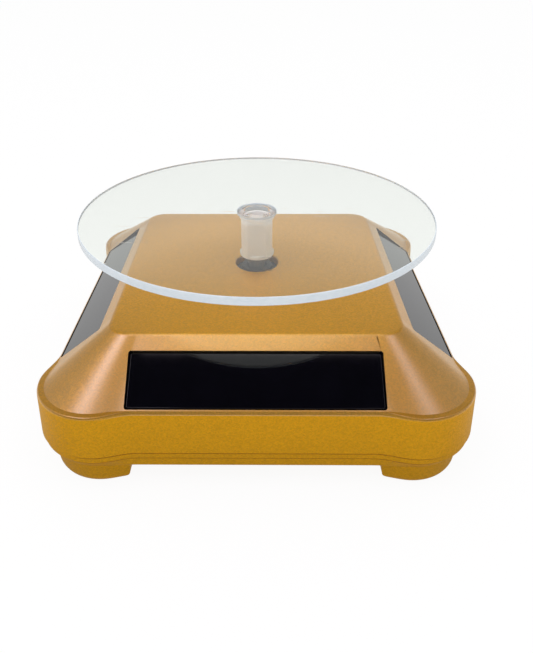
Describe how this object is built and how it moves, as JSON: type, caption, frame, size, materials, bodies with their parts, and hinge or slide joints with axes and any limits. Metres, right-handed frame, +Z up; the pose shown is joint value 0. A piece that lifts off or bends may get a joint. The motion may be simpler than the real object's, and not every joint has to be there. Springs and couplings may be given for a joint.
{
  "type": "turntable display stand",
  "caption": "Low square base with sloping solar panels and a motor that slowly turns a clear round platform on a central post.",
  "frame": {"origin": "centre of the base's footprint, on the surface that the four feet stand on", "axes": "+Z up along the turntable's axis, -Y towards the front, the battery bay towards +Y"},
  "size_m": [0.1002, 0.1002, 0.0468],
  "materials": {
    "gold_shell": "satin metallic gold lacquer",
    "solar_glass": "polished black",
    "clear_acrylic": "polished clear",
    "white_plastic": "moulded",
    "grey_plastic": "moulded",
    "black_plastic": "moulded",
    "steel": "zinc plated",
    "brass": "turned",
    "circuit_board": "green solder mask",
    "cell_sleeve": "printed sleeve, plain",
    "red_lead": "smooth insulation",
    "black_lead": "smooth insulation"
  },
  "bodies": {
    "case": {"top_shell": "gold_shell", "bottom_tray": "gold_shell", "solar_panel_front": "solar_glass", "solar_panel_right": "solar_glass", "solar_panel_back": "solar_glass", "solar_panel_left": "solar_glass", "gearbox_base": "grey_plastic", "gearbox_cover": "grey_plastic", "spindle_bush": "black_plastic", "first_gear_pin": "steel", "second_gear_pin": "steel", "motor_can": "steel", "motor_end_cap": "white_plastic", "battery_cell": "cell_sleeve", "battery_contact_negative": "brass", "battery_contact_positive": "brass", "battery_spring": "steel", "battery_lead_black": "black_lead", "battery_lead_red": "red_lead", "motor_lead_black": "black_lead", "motor_lead_red": "red_lead", "circuit_board": "circuit_board", "storage_capacitor": "cell_sleeve", "switch_body": "black_plastic", "case_screw_1": "steel", "case_screw_2": "steel", "case_screw_3": "steel", "case_screw_4": "steel", "gearbox_screw_1": "steel", "gearbox_screw_2": "steel", "gearbox_screw_3": "steel"},
    "output": {"drive_spindle": "white_plastic", "output_gear": "white_plastic"},
    "platform": {"turntable_disc": "clear_acrylic", "drive_post": "clear_acrylic"},
    "second_wheel": {"second_gear": "grey_plastic"},
    "first_wheel": {"first_gear": "white_plastic"},
    "rotor": {"motor_shaft": "steel", "motor_pinion": "brass"},
    "switch": {"switch_knob": "white_plastic"},
    "door": {"battery_door": "gold_shell"}
  },
  "joints": [
    {"name": "turntable_spin", "type": "hinge", "parent": "case", "child": "output", "pos_m": [0, 0, 0.03], "axis": [0, 0, 1], "continuous": true},
    {"name": "platform_lift", "type": "slide", "parent": "output", "child": "platform", "axis": [0, 0, 1], "range_m": [0, 0.0135]},
    {"name": "second_gear_spin", "type": "hinge", "parent": "case", "child": "second_wheel", "pos_m": [0.01247, 0.0072, 0.022], "axis": [0, 0, 1], "continuous": true},
    {"name": "first_gear_spin", "type": "hinge", "parent": "case", "child": "first_wheel", "pos_m": [0.01247, -0.0072, 0.022], "axis": [0, 0, 1], "continuous": true},
    {"name": "rotor_spin", "type": "hinge", "parent": "case", "child": "rotor", "pos_m": [0, -0.0144, 0.022], "axis": [0, 0, 1], "continuous": true},
    {"name": "switch_slide", "type": "slide", "parent": "case", "child": "switch", "axis": [1, 0, 0], "range_m": [0, 0.003]},
    {"name": "battery_door_hinge", "type": "hinge", "parent": "case", "child": "door", "pos_m": [0, 0.0227, 0.0048], "axis": [-1, 0, 0], "range_deg": [0, 90]}
  ],
  "couplings": [
    {"joint": "second_gear_spin", "follows": "turntable_spin", "ratio": -3.5},
    {"joint": "first_gear_spin", "follows": "turntable_spin", "ratio": 12.25},
    {"joint": "rotor_spin", "follows": "turntable_spin", "ratio": -42.875}
  ]
}
